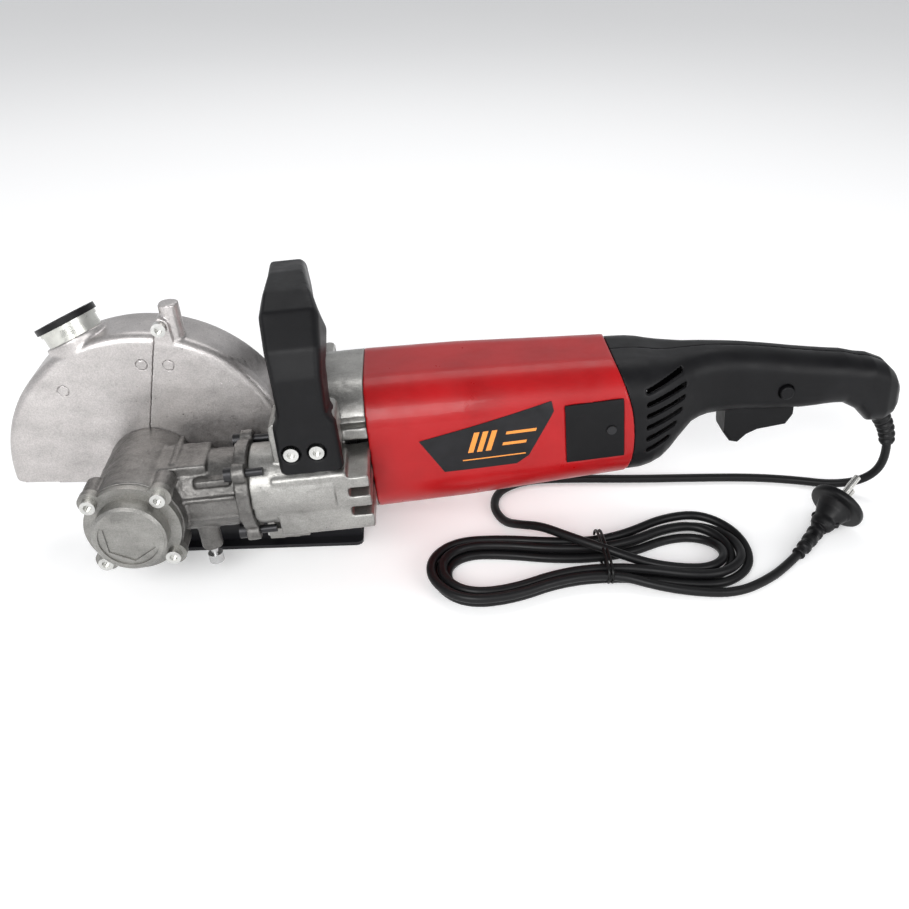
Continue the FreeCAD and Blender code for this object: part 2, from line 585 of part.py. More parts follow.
def make_casting(parts):
    body = casting_outer()
    gears = fuse(cyl(GEAR_X - 2, LAY_Y, 0, (1, 0, 0), 18.5, GEAR_WIDTH + 2.5),
                 cyl(GEAR_X - 2, IDLER_Y, IDLER_Z, (1, 0, 0), 20.5, GEAR_WIDTH + 2.5),
                 cyl(GEAR_X - 2, MOTOR_Y, 0, (1, 0, 0), 14.0, GEAR_WIDTH + 2.5))
    fan_room = cyl(124, MOTOR_Y, 0, (1, 0, 0), 40.5, 20)
    body = body.cut(gears).cut(fan_room)
    body = body.cut(cyl(112, MOTOR_Y, 0, (1, 0, 0), SHAFT_R + 1, 20))
    body = body.cut(cyl(118, MOTOR_Y, 0, (1, 0, 0), 14.0, 10))
    body = body.cut(cyl(98, MOTOR_Y, 0, (1, 0, 0), SHAFT_R + 1, 8))
    body = body.cut(cyl(60, LAY_Y, 0, (1, 0, 0), 12.0, GEAR_X - 60))
    body = body.cut(cyl(112, LAY_Y, 0, (1, 0, 0), 9.5, 12))
    body = body.cut(cyl(94, IDLER_Y, IDLER_Z, (1, 0, 0), 4.0, 24))
    for z in (27.5, 14.0, 0.5, -13.0):
        for side in (-1, 1):
            y = MOTOR_Y + side * 44
            body = body.cut(block(120, CASTING_END_X + 1, y - 6, y + 6, z - 3, z + 3))
    for z in (27.5, 14.0, 0.5, -13.0):
        body = body.cut(block(126, CASTING_END_X + 1, -80, MOTOR_Y - 40, z - 3, z + 3))
    for y, z in flange_screw_spots():
        body = body.cut(cyl(NECK_END_X - 1, y, z, (1, 0, 0), SCREW_R, 11))
    for y, sign in ((BOW_NEAR_Y, 1), (BOW_FAR_Y, -1)):
        for x in BOW_SCREW_XS:
            body = body.cut(cyl(x, y, BOW_SCREW_Z, (0, sign, 0), SCREW_R, 14))
    guard_space = cyl(0, -GUARD_HALF - AIR, 0, (0, 1, 0), GUARD_R + AIR, 2 * (GUARD_HALF + AIR))
    parts["front_casting"] = body.cut(guard_space)


# ---------------------------------------------------------------- bow handle
def make_bow(parts):
    """Two legs and a grip in one arch across the casting, with a foot at each end."""
    def rect(y, z, width, thick, lean):
        a = math.radians(lean)
        along = V(0, math.cos(a), math.sin(a))
        share = min(1.0, max(0.0, (y - near) / (far - near) * 1.5 - 0.25))
        c = V(BOW_X + BOW_FAR_SHIFT * share, y, z)
        w, t = V(width / 2, 0, 0), along * (thick / 2)
        cut = 0.28
        pts = [c - w * 0.86 - t, c + w * 0.86 - t, c + w - t * (1 - cut), c + w * 1.12 + t * (1 - cut),
               c + w * 1.05 + t, c - w * 1.05 + t, c - w * 1.12 + t * (1 - cut), c - w - t * (1 - cut)]
        return Part.makePolygon(pts + pts[:1])

    near, far = BOW_NEAR_Y - 8, BOW_FAR_Y + 8
    top = BOW_TOP_Z
    t = BOW_THICK
    stations = [(near + 9, 16, BOW_WIDTH + 10, 18, 0), (near + 9, 47, BOW_WIDTH + 9, 18, 0),
                (near + 10, 54, BOW_WIDTH + 1, 20, 0), (near + 13, 76, BOW_WIDTH + 2, t - 2, 0),
                (near + 19, top - 18, BOW_WIDTH + 5, t, -20), (near + 31, top - 7, BOW_WIDTH + 7, t + 2, -55),
                (near + 43, top - 2, BOW_WIDTH + 2, t + 1, -74),
                (MOTOR_Y - 14, top, BOW_WIDTH - 4, t, -88),
                (MOTOR_Y + 10, top - 2, BOW_WIDTH - 5, t, -94),
                (far - 36, top - 9, BOW_WIDTH - 5, t - 2, -122),
                (far - 20, top - 24, BOW_WIDTH - 6, t - 3, -155),
                (far - 12, 66, BOW_WIDTH - 8, t - 5, -180), (far - 9, 52, BOW_WIDTH - 8, 18, -180),
                (far - 9, 42, BOW_WIDTH - 4, 18, -180), (far - 9, 16, BOW_WIDTH - 3, 18, -180)]
    wires = [rect(*s) for s in stations]
    arch = Part.makeLoft(wires, True, True)
    solid = arch.cut(block(60, 150, BOW_NEAR_Y, BOW_FAR_Y, 10, 50))
    solid = solid.cut(casting_outer())
    for y, sign in ((near, 1), (far, -1)):
        for x in BOW_SCREW_XS:
            solid = solid.cut(cyl(x, y, BOW_SCREW_Z, (0, sign, 0), SCREW_R, 14))
            solid = solid.cut(cyl(x, y - sign * 4, BOW_SCREW_Z, (0, sign, 0), 5.6, 8))
    parts["bow_handle"] = solid
    parts["bow_screws"] = group([socket_screw(x, y + sign * 4, BOW_SCREW_Z, (0, sign, 0), 12)
                                 for y, sign in ((near, 1), (far, -1)) for x in BOW_SCREW_XS])


# ---------------------------------------------------------------- housings
def red_rows():
    return [(CASTING_END_X, MOTOR_Y, 0, FRONT_HALF, FRONT_HALF, FRONT_CORNER),
            (200, MOTOR_Y, 0, 45.2, 45.2, 29),
            (260, MOTOR_Y, 0, 42.4, 42.4, 27.5),
            (HOUSING_END_X + 6, MOTOR_Y, 0, REAR_HALF, REAR_HALF, REAR_CORNER)]


def join_cylinder(inset=0.0):
    """Everything inside it belongs to the red housing."""
    return cyl(HOUSING_END_X - HOUSING_JOIN_R, -80, -4, (0, 1, 0), HOUSING_JOIN_R - inset, 180)


def front_half_space():
    return block(100, HOUSING_END_X - HOUSING_JOIN_R + 20, -80, 100, -90, 90)


def skin(rows, outwards, inwards):
    return loft(rows, outwards).cut(loft(rows, -inwards))


def make_red_housing(parts):
    rows = red_rows()
    shell = loft(rows).cut(loft(rows, -HOUSING_WALL))
    shell = shell.common(fuse(join_cylinder(), front_half_space()))
    label_cutter = prism_xz(LABEL, -70, MOTOR_Y - 20)
    label = skin(rows, 0.3, 0.5).common(label_cutter)
    covers, screws = [], []
    cover_skin = skin(rows, 0.7, 1.6)
    inside = join_cylinder(AIR * 2)
    for y0, y1, sign in ((-70, MOTOR_Y - 20, 1), (MOTOR_Y + 20, 80, -1)):
        region = block(COVER_X0, COVER_X1, y0, y1, COVER_Z0, COVER_Z1)
        cover = cover_skin.common(region).common(inside)
        edge_y = cover.BoundBox.YMin if sign > 0 else cover.BoundBox.YMax
        spot = (291.0, edge_y + sign * 1.6, 3.0)
        cover = cover.cut(cyl(spot[0], edge_y - sign, spot[2], (0, sign, 0), 3.2, 2.6))
        cover = cover.cut(cyl(spot[0], edge_y - sign, spot[2], (0, sign, 0), 1.3, 8))
        screw = fuse(cyl(spot[0], spot[1] - sign * 1.2, spot[2], (0, sign, 0), 3.0, 1.2),
                     cyl(spot[0], spot[1], spot[2], (0, sign, 0), 1.3, 5))
        covers.append(cover)
        screws.append(screw)
    parts["label_plate"] = label
    parts["brush_covers"] = group(covers)
    parts["brush_cover_screws"] = group(screws)
    shell = shell.cut(skin(rows, 3, 0.5).common(label_cutter))
    for y0, y1 in ((-70, MOTOR_Y - 20), (MOTOR_Y + 20, 80)):
        pocket = block(COVER_X0, COVER_X1, y0, y1, COVER_Z0, COVER_Z1).common(inside)
        shell = shell.cut(skin(rows, 3, 1.6).common(pocket))
    for screw in screws:
        shell = shell.cut(screw)
    seat = ring(260, MOTOR_Y, 0, (1, 0, 0), 15, 11.0, 17)
    struts = fuse(block(262, 276, MOTOR_Y - 41, MOTOR_Y + 41, -2, 2),
                  block(262, 276, MOTOR_Y - 2, MOTOR_Y + 2, -41, 41))
    struts = struts.cut(cyl(250, MOTOR_Y, 0, (1, 0, 0), 14.5, 40))
    inner = loft(rows, -HOUSING_WALL + 0.4)
    carrier = []
    for s in (-1, 1):
        carrier += [block(172, 222, MOTOR_Y + s * 34, MOTOR_Y + s * 45, -3, 3),
                    block(172, 222, MOTOR_Y - 3, MOTOR_Y + 3, min(s * 34, s * 45), max(s * 34, s * 45))]
    ribs = fuse(seat, struts.common(inner), *[c.common(inner) for c in carrier])
    parts["motor_housing"] = fuse(shell, ribs)


def handle_rows():
    """Sections of the black rear housing, the grip and the swept-down tail."""
    y = MOTOR_Y
    return [(HOUSING_END_X - 22, y, 0, REAR_HALF, REAR_HALF, REAR_CORNER),
            (HOUSING_END_X + 6, y, -0.5, REAR_HALF - 1, REAR_HALF - 1, REAR_CORNER - 1),
            (326, y, 0.5, 35, 35.5, 22), (338, y, 5.5, 29, 29.5, 19), (348, y, 10, 23.5, 25, 17),
            (360, y, 11.8, 19.5, 23.2, 15), (376, y, 11.0, 17.5, 22.5, 14),
            (400, y, 8.0, 17.0, 21.5, 14), (425, y, 4.8, 17.0, 19.6, 14),
            (452, y, 2.6, 17.0, 17.2, 14), (462, y, -2.0, 16.5, 18.6, 13),
            (470, y, -7.5, 16.0, 22.5, 12), (480, y, -10.5, 15.0, 21.0, 12),
            (487, y, -12.5, 12.0, 15.5, 10), (491, y, -14.0, 7.0, 9.5, 6)]


def trigger_outline(grow=0.0):
    g = grow
    return [(TRIGGER_X0 - g, 2), (TRIGGER_X1 + g, 0), (TRIGGER_X1 + g, -20 - g), (TRIGGER_X1 - 4, -26 - g),
            (396, -28 - g), (389, -31 - g), (383, -36.5 - g), (377.5, -35 - g), (TRIGGER_X0 - g, -28)]


def make_trigger(parts):
    body = prism_xz(trigger_outline(), MOTOR_Y - 9.5, MOTOR_Y + 9.5)
    body = body.makeFillet(2.2, [e for e in body.Edges if e.BoundBox.YLength < 0.1
                                 and e.BoundBox.ZMax < -19])
    pivot = ring(TRIGGER_X1 - 3, MOTOR_Y - 9.5, 0.5, (0, 1, 0), 3.6, 2.0 + FIT, 19)
    body = body.cut(cyl(TRIGGER_X1 - 3, MOTOR_Y - 20, 0.5, (0, 1, 0), 3.6, 40))
    body = fuse(body, pivot)
    body = body.cut(block(TRIGGER_X0 + 6, TRIGGER_X1 - 9, MOTOR_Y - 7.5, MOTOR_Y + 7.5, -12, 5))
    parts["trigger"] = body
    parts["trigger_pin"] = cyl(TRIGGER_X1 - 3, MOTOR_Y - 14.4, 0.5, (0, 1, 0), 2.0, 28.8)


def make_rear_handle(parts):
    wall = 2.6
    outer = loft(handle_rows(), 0.0, 7.0).cut(join_cylinder())
    inner = loft(handle_rows(), -wall, 7.0).common(block(270, 484, -60, 60, -60, 60))
    shell = outer.cut(inner)
    gap = block(TRIGGER_X0 - TRIGGER_SWING_GAP, TRIGGER_X1 + 1.4, MOTOR_Y - 10.6, MOTOR_Y + 10.6, -60, -5)
    shell = shell.cut(gap)
    posts = fuse(cyl(TRIGGER_X1 - 3, MOTOR_Y - 15.5, 0.5, (0, 1, 0), 4.6, 5),
                 cyl(TRIGGER_X1 - 3, MOTOR_Y + 10.5, 0.5, (0, 1, 0), 4.6, 5),
                 *[cyl(x, MOTOR_Y - half - 6, z, (0, 1, 0), 4.2, 2 * half + 12)
                   for x, z, half in HANDLE_SCREWS])
    shell = fuse(shell, posts.common(outer))
    shell = shell.cut(cyl(TRIGGER_X1 - 3, MOTOR_Y - 14.4, 0.5, (0, 1, 0), 2.0, 28.8))
    for i, top_x in enumerate((340, 342, 341, 339, 335, 330)):
        z = 23.5 - 8.2 * i
        slot = prism_xz([(314, z - 1.7), (top_x, z + 4.6), (top_x, z + 8.0), (314, z + 1.7)], -60, 70)
        shell = shell.cut(slot)
    shell = shell.cut(cyl(LOCK_X, MOTOR_Y - 30, LOCK_Z, (0, 1, 0), LOCK_R + 0.35, 20))
    shell = shell.cut(strain_solid(0.0))
    screws = []
    for x, z, half in HANDLE_SCREWS:
        face = MOTOR_Y + half
        shell = shell.cut(cyl(x, face, z, (0, 1, 0), 3.4, 8))
        shell = shell.cut(cyl(x, face, z, (0, -1, 0), 1.6, 2 * half - 3))
        screws.append(fuse(cyl(x, face, z, (0, 1, 0), 3.2, 2.2),
                           cyl(x, face, z, (0, -1, 0), 1.6, 2 * half - 3)))
    parts["handle_screws"] = group(screws)
    near = shell.common(block(280, 500, -60, MOTOR_Y, -80, 80))
    far = shell.common(block(280, 500, MOTOR_Y, 70, -80, 80))
    parts["rear_handle_near"] = largest(near)
    parts["rear_handle_far"] = largest(far)


def largest(shape):
    solids = sorted(shape.Solids, key=lambda s: s.Volume)
    return solids[-1]


def make_lock_button(parts):
    y_face = MOTOR_Y - 17.0
    cap = cyl(LOCK_X, y_face - 3.0, LOCK_Z, (0, 1, 0), LOCK_R, 6.5)
    cap = cap.makeFillet(1.2, [e for e in cap.Edges if abs(e.BoundBox.YMax - y_face + 3.0) < 0.01])
    parts["lock_button"] = cap


def make_switch(parts):
    parts["switch_body"] = block(380, 407, MOTOR_Y - 6.8, MOTOR_Y + 6.8, -6.5, 15)


def strain_solid(grow):
    """Curved, tapered strain relief from the handle's tail down to the cord."""
    axis = [V(478, MOTOR_Y, -24), V(485, MOTOR_Y, -34), V(489.5, MOTOR_Y, -44), V(491.5, MOTOR_Y, -54)]
    radii = [6.2, 5.8, 5.2, 4.6]
    wires = []
    for i, p in enumerate(axis):
        ahead = axis[min(i + 1, len(axis) - 1)] - axis[max(i - 1, 0)]
        circle = Part.Circle(p, ahead, radii[i] + grow)
        wires.append(Part.Wire([circle.toShape()]))
    return Part.makeLoft(wires, True, False)


# ---------------------------------------------------------------- shoe, clamps, lock pin
def make_shoe_parts(row_parts):
    """The shoe is level, so it is made in the row frame."""
    base = -SOLE_DROP
    sole = block(SHOE_X0, SHOE_X1, SHOE_Y0, SHOE_Y1, base, base + SHOE_THICK)
    sole = sole.makeFillet(5, [e for e in sole.Edges if e.BoundBox.ZLength > 2 and e.BoundBox.XLength < 0.1
                               and e.BoundBox.YLength < 0.1])
    slot = block(SHOE_X0 + 14, 66, -17, 17, base - 1, base + SHOE_THICK + 1)
    wall = block(SHOE_X0 + 2, SHOE_X1 - 1, SHOE_WALL_Y, SHOE_WALL_Y + SHOE_THICK, base, base + SHOE_WALL_H)
    far_wall = block(SHOE_X0 + 2, SHOE_X1 - 1, 21.5, 21.5 + SHOE_THICK, base, base + 12)
    px, pz = SHOE_PIVOT
    shoe = fuse(sole.cut(slot), wall, far_wall)
    shoe = shoe.cut(cyl(px, SHOE_WALL_Y - 5, pz, (0, 1, 0), 3.0 + FIT, 12))
    row_parts["base_shoe"] = shoe
    bolt = fuse(cyl(px, SHOE_WALL_Y - 2.4, pz, (0, 1, 0), 3.0, 14),
                hexagon(px, SHOE_WALL_Y - 5.2, pz, 9.5, "y", 5.0 - 0.4))
    row_parts["shoe_pivot_bolt"] = bolt
    y = SHOE_WALL_Y + SHOE_THICK + 0.4
    arm = fuse(block(px - 7, px + 9, y, y + 3.5, pz - 6, -20), block(px - 7, 108, y, y + 3.5, -28, -20))
    arm = arm.cut(cyl(px, SHOE_WALL_Y - 5, pz, (0, 1, 0), 3.0, 18))
    row_parts["shoe_bracket"] = arm.cut(row_parts["front_casting"])


def make_lock_pin(parts):
    x, y = 36, LAY_Y - 12
    pin = fuse(cyl(x, y, -40, (0, 0, 1), PIN_R, 21), cyl(x, y, -46, (0, 0, 1), 4.6, 6))
    parts["spindle_lock_pin"] = pin


# ---------------------------------------------------------------- cord (row frame)
def rounded_path(points):
    """Straight runs joined by tangent arcs; prints the radii."""
    pts = [V(*p) for p in points]
    runs = [(pts[i + 1] - pts[i]).Length for i in range(len(pts) - 1)]
    edges, radii = [], []
    at = pts[0]
    for i in range(1, len(pts) - 1):
        before = (pts[i - 1] - pts[i]).normalize()
        after = (pts[i + 1] - pts[i]).normalize()
        cut = 0.45 * min(runs[i - 1], runs[i])
        turn = math.pi - before.getAngle(after)
        radius = cut / math.tan(turn / 2)
        start, end = pts[i] + before * cut, pts[i] + after * cut
        inward = (before + after).normalize()
        centre = pts[i] + inward * (radius / math.cos(turn / 2))
        middle = centre - inward * radius
        edges.append(Part.LineSegment(at, start).toShape())
        edges.append(Part.Arc(start, middle, end).toShape())
        radii.append(round(radius))
        at = end
    edges.append(Part.LineSegment(at, pts[-1]).toShape())
    print("cord radii mm", radii, "longest run", round(max(runs)), "shortest", round(min(runs)))
    return Part.Wire(edges)


def tube(points, diameter):
    path = rounded_path(points)
    start = path.Edges[0]
    direction = start.tangentAt(start.FirstParameter)
    circle = Part.Wire([Part.Circle(start.valueAt(start.FirstParameter), direction, diameter / 2).toShape()])
    solid = path.makePipeShell([circle], True, False)
    expected = math.pi * diameter ** 2 / 4 * path.Length
    print("tube volume ratio", round(solid.Volume / expected, 4), "length", round(path.Length))
    return solid


# Cord routes in the row frame: chosen by hand, from the strain relief to the hank and on.
FLOOR = -SOLE_DROP
LYING = FLOOR + CORD_D / 2
LEAD = [(494.3, 5, -11.8), (497.5, 5.5, -28), (489, 9, -45), (470, 17, -54), (445, 27, LYING),
        (413, 32.5, LYING), (372, 34, LYING), (326, 35, LYING), (282, 38, LYING), (248, 38, LYING),
        (226, 25, LYING), (220, 4, LYING), (227, -15, LYING), (240, -31, LYING), (254, -46, LYING)]
TAIL = [(350, -97, LYING), (366, -95, LYING), (383, -88, LYING), (399, -77, LYING), (414, -64, LYING)]
HANK = [(178, -78), (184, -62), (205, -52), (240, -46), (275, -42), (320, -30), (360, -20), (380, -16),
        (391, -24), (394, -40), (388, -62), (376, -84), (352, -100), (320, -96), (288, -91),
        (255, -104), (220, -115), (195, -109), (181, -94)]
HANK_HEIGHT = 14.0
TIE_X0, TIE_X1 = 281.0, 287.0
FLANGE_CENTRE = V(452, -28, FLOOR + 17.0)
PLUG_DIRECTION = V(0.708, 0.553, 0.438)
PLUG_PIN_GAP = 19.0


def make_cord(row_parts):
    lead, tail = tube(LEAD, CORD_D), tube(TAIL, CORD_D)
    wire = Part.makePolygon([V(x, y, FLOOR) for x, y in HANK + HANK[:1]])
    hank = Part.Face(wire).extrude(V(0, 0, HANK_HEIGHT))
    hank = hank.makeChamfer(3.0, [e for e in hank.Edges if e.BoundBox.ZMin > FLOOR + HANK_HEIGHT - 0.1])
    band = hank.common(block(TIE_X0, TIE_X1, -120, 0, FLOOR, 0))
    box = band.BoundBox
    core = block(TIE_X0 - 1, TIE_X1 + 1, box.YMin + 5, box.YMax - 3, FLOOR + 1.2, FLOOR + HANK_HEIGHT - 1.2)
    tie = band.cut(core)
    row_parts["cord_hank"] = hank.cut(tie)
    row_parts["cord_tie"] = tie
    row_parts["power_cord"] = group([largest(lead.cut(hank)), largest(tail.cut(hank))])


def make_plug(row_parts):
    a = PLUG_DIRECTION.normalize()
    f = FLANGE_CENTRE
    neck = f - a * 20
    entry = V(*TAIL[-1])
    came = (V(*TAIL[-1]) - V(*TAIL[-2])).normalize()
    disc = Part.makeCylinder(18.5, 4.6, f - a * 2.3, a)
    flat = Part.makeCone(7.0, 12.5, 18.2, neck, a)
    spots = [(entry, came, 3.9), (entry + came * 11, came, 4.8),
             (neck - a * 6, a, 6.0), (neck + a * 0.5, a, 7.0)]
    wires = [Part.Wire([Part.Circle(c, d, r).toShape()]) for c, d, r in spots]
    relief = Part.makeLoft(wires, True, False)
    body = fuse(disc, flat, relief)
    body = body.cut(block(380, 500, -100, 40, FLOOR - 20, FLOOR))
    side = a.cross(V(0, 0, 1)).normalize()
    across = side * 0.25 + a.cross(side) * -0.97
    across.normalize()
    pins = []
    for s in (-1, 1):
        start = f + a * 2.3 + across * (s * PLUG_PIN_GAP / 2)
        pins.append(Part.makeCylinder(2.4, 19.0, start, a))
    row_parts["plug_body"] = body
    row_parts["plug_pins"] = group(pins)


def main():
    os.makedirs(OUT, exist_ok=True)
    parts, row_parts = {}, {}
    make_armature(parts)
    make_idler(parts)
    make_layshaft(parts)
    make_spindle(parts)
    make_bearings(parts)
    make_motor(parts)
    make_guard(parts)
    make_port(parts)
    make_gear_head(parts)
    make_cap(parts)
    make_casting(parts)
    make_bow(parts)
    make_red_housing(parts)
    make_rear_handle(parts)
    make_trigger(parts)
    make_lock_button(parts)
    make_switch(parts)
    parts["strain_relief"] = strain_solid(0.0)
    make_lock_pin(parts)
    for name, shape in parts.items():
        shape.rotate(V(0, 0, 0), V(0, 1, 0), -TILT_DEG)
        row_parts[name] = shape
    make_shoe_parts(row_parts)
    make_cord(row_parts)
    make_plug(row_parts)
    for name, shape in sorted(row_parts.items()):
        if not shape.isValid():
            print("not valid:", name)
        shape.exportStep(os.path.join(OUT, name + ".step"))
    print(len(row_parts), "nodes")


main()
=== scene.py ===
"""The looks of a corded wall chaser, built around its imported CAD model.

Lengths in this script are millimetres until they reach a mesh. "Tool" points are in the tool's own
frame: origin on the spindle axis in the blade's middle plane, X along the motor axis to the rear,
Y away from the gear head, Z up. The tool stands tilted, so tool points turn by TILT into the row frame.
"""

import json
import math

import bmesh
import bpy
from mathutils import Matrix, Vector, noise


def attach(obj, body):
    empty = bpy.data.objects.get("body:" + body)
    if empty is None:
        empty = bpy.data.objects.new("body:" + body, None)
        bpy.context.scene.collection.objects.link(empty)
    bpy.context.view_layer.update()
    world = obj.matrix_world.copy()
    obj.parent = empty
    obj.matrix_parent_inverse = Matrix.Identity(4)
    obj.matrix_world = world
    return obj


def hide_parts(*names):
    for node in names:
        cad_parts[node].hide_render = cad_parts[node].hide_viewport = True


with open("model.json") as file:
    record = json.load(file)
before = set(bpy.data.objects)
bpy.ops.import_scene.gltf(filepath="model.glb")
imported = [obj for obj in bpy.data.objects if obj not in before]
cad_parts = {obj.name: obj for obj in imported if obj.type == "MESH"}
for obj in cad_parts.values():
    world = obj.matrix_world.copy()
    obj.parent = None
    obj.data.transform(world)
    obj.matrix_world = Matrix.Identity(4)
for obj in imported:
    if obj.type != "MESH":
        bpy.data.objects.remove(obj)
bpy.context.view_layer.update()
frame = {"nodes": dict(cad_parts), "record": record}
NODES = frame["nodes"]

MM = 0.001
TILT = math.radians(4.9)
TOOL = Matrix.Rotation(-TILT, 4, "Y")
SOLE_Z = -58.5
MOTOR_Y = 5.0
CORD_D = 6.0
LYING = SOLE_Z + CORD_D / 2


def row(x, y, z):
    """A row-frame point, from millimetres to metres."""
    return Vector((x, y, z)) * MM


def tool(x, y, z):
    """A tool-frame point, from millimetres to the row frame in metres."""
    return TOOL @ row(x, y, z)


# ---------------------------------------------------------------- camera
CAMERA_AT = (161.3, -563.4, 330.0)
CAMERA_TURN, CAMERA_HEIGHT = math.radians(-3.2), math.radians(31.0)


def make_camera():
    back = Vector((math.sin(CAMERA_TURN) * math.cos(CAMERA_HEIGHT),
                   -math.cos(CAMERA_TURN) * math.cos(CAMERA_HEIGHT), math.sin(CAMERA_HEIGHT)))
    data = bpy.data.cameras.new("camera")
    data.lens, data.sensor_width = 38.61, 36.0
    camera = bpy.data.objects.new("camera", data)
    bpy.context.scene.collection.objects.link(camera)
    camera.rotation_euler = back.to_track_quat("Z", "Y").to_euler()
    camera.location = row(*CAMERA_AT)
    bpy.context.scene.camera = camera


make_camera()


# ---------------------------------------------------------------- material helpers
class Shader:
    """A material with a Principled shader, and short calls that add nodes to it."""

    def __init__(self, name, colour, roughness, metallic=0.0, specular=0.5, coat=0.0):
        self.material = bpy.data.materials.new(name)
        self.material.use_nodes = True
        self.tree = self.material.node_tree
        self.main = self.tree.nodes["Principled BSDF"]
        self.set("Base Color", (*colour, 1.0))
        self.set("Roughness", roughness)
        self.set("Metallic", metallic)
        self.set("Specular IOR Level", specular)
        self.set("Coat Weight", coat)
        self.height = None
        self.place = self.node("ShaderNodeTexCoord").outputs["Object"]

    def set(self, socket, value):
        self.main.inputs[socket].default_value = value

    def node(self, kind, **values):
        made = self.tree.nodes.new(kind)
        for key, value in values.items():
            setattr(made, key, value)
        return made

    def link(self, out, into):
        self.tree.links.new(out, into)

    def stretched(self, scale):
        """Object coordinates in metres, scaled along each axis."""
        mapping = self.node("ShaderNodeMapping")
        mapping.inputs["Scale"].default_value = scale
        self.link(self.place, mapping.inputs["Vector"])
        return mapping.outputs["Vector"]

    def noise(self, size_mm, detail=3.0, rough=0.55, scale=(1, 1, 1)):
        made = self.node("ShaderNodeTexNoise")
        made.inputs["Scale"].default_value = 1000.0 / size_mm
        made.inputs["Detail"].default_value = detail
        made.inputs["Roughness"].default_value = rough
        self.link(self.stretched(scale), made.inputs["Vector"])
        return made.outputs["Fac"]

    def cells(self, size_mm, feature="F1"):
        made = self.node("ShaderNodeTexVoronoi", feature=feature)
        made.inputs["Scale"].default_value = 1000.0 / size_mm
        self.link(self.place, made.inputs["Vector"])
        return made.outputs["Distance"]

    def ramp(self, fac, *stops):
        """Value or colour stops, as (position, grey) or (position, (r, g, b))."""
        made = self.node("ShaderNodeValToRGB")
        elements = made.color_ramp.elements
        while len(elements) < len(stops):
            elements.new(0.5)
        for element, (position, value) in zip(elements, stops):
            element.position = position
            rgb = value if isinstance(value, tuple) else (value, value, value)
            element.color = (*rgb, 1.0)
        self.link(fac, made.inputs["Fac"])
        return made.outputs["Color"]

    def mix(self, first, second, fac, blend="MIX"):
        made = self.node("ShaderNodeMix", data_type="RGBA", blend_type=blend)
        for socket, value in ((made.inputs[0], fac), (made.inputs[6], first), (made.inputs[7], second)):
            if isinstance(value, bpy.types.NodeSocket):
                self.link(value, socket)
            elif isinstance(value, tuple):
                socket.default_value = (*value, 1.0)
            else:
                socket.default_value = value
        return made.outputs[2]

    def math(self, operation, a, b=0.0, c=0.0):
        made = self.node("ShaderNodeMath", operation=operation)
        for socket, value in zip(made.inputs, (a, b, c)):
            if isinstance(value, bpy.types.NodeSocket):
                self.link(value, socket)
            else:
                socket.default_value = value
        return made.outputs[0]

    def bump(self, height, depth_mm, strength=1.0):
        """Adds one more layer of bump, depth_mm deep."""
        made = self.node("ShaderNodeBump")
        made.inputs["Strength"].default_value = strength
        made.inputs["Distance"].default_value = depth_mm * MM
        self.link(height, made.inputs["Height"])
        if self.height is not None:
            self.link(self.height, made.inputs["Normal"])
        self.height = made.outputs["Normal"]
        self.link(self.height, self.main.inputs["Normal"])

    def colour(self, out):
        self.link(out, self.main.inputs["Base Color"])

    def roughness(self, out):
        self.link(out, self.main.inputs["Roughness"])


def moulded(name, colour, roughness, grain_mm=0.45, depth_mm=0.05, wear=1.35, coat=0.0, specular=0.28):
    """Moulded plastic: spark-eroded grain, soft mottling and faint handling marks."""
    s = Shader(name, colour, roughness, specular=specular, coat=coat)
    cloud = s.noise(38.0, 4.0)
    light = tuple(min(1.0, c * wear + 0.002) for c in colour)
    dark = tuple(c * 0.82 for c in colour)
    base = s.ramp(cloud, (0.3, dark), (0.52, colour), (0.75, light))
    marks = s.ramp(s.noise(9.0, 6.0, 0.7, (0.25, 1.0, 1.6)), (0.62, 0.0), (0.78, 1.0))
    s.colour(s.mix(base, tuple(c * 1.5 + 0.006 for c in light), s.math("MULTIPLY", marks, 0.25)))
    s.roughness(s.ramp(s.noise(14.0, 5.0), (0.3, roughness - 0.07), (0.7, roughness + 0.1)))
    s.bump(s.noise(grain_mm, 2.0), depth_mm, 0.6)
    s.bump(cloud, 0.25, 0.25)
    return s.material


def casting(name, colour, roughness, mottle, pit_mm=7.0, grain_mm=0.9, depth_mm=0.1, grime=0.45):
    """Die-cast aluminium: sparkling grain, flow marks, dark pits and grime in random patches."""
    s = Shader(name, colour, roughness, metallic=0.86, specular=0.5)
    dark = tuple(c * (1.0 - mottle) for c in colour)
    light = tuple(min(1.0, c * (1.0 + mottle * 0.9)) for c in colour)
    flow = s.noise(24.0, 6.0, 0.62, (0.7, 1.0, 1.3))
    speckle = s.noise(grain_mm, 3.0, 0.7)
    base = s.ramp(flow, (0.28, dark), (0.5, colour), (0.74, light))
    base = s.mix(base, s.ramp(speckle, (0.35, 0.35), (0.62, 1.0)), 0.35, "MULTIPLY")
    pits = s.ramp(s.cells(pit_mm), (0.03, 1.0), (0.075, 0.0))
    chosen = s.ramp(s.noise(11.0, 2.0), (0.53, 0.0), (0.58, 1.0))
    pits = s.math("MULTIPLY", pits, chosen)
    base = s.mix(base, (0.05, 0.047, 0.045), s.math("MULTIPLY", pits, 0.85))
    stain = s.ramp(s.noise(5.5, 7.0, 0.75), (0.55, 0.0), (0.8, 1.0))
    s.colour(s.mix(base, tuple(c * 0.3 for c in colour), s.math("MULTIPLY", stain, grime)))
    s.roughness(s.ramp(s.noise(3.0, 5.0, 0.7), (0.3, roughness - 0.1), (0.72, roughness + 0.14)))
    s.bump(speckle, depth_mm, 0.7)
    s.bump(s.ramp(s.cells(pit_mm), (0.03, 0.0), (0.08, 1.0)), 0.25, 0.5)
    s.bump(flow, 0.35, 0.35)
    return s.material


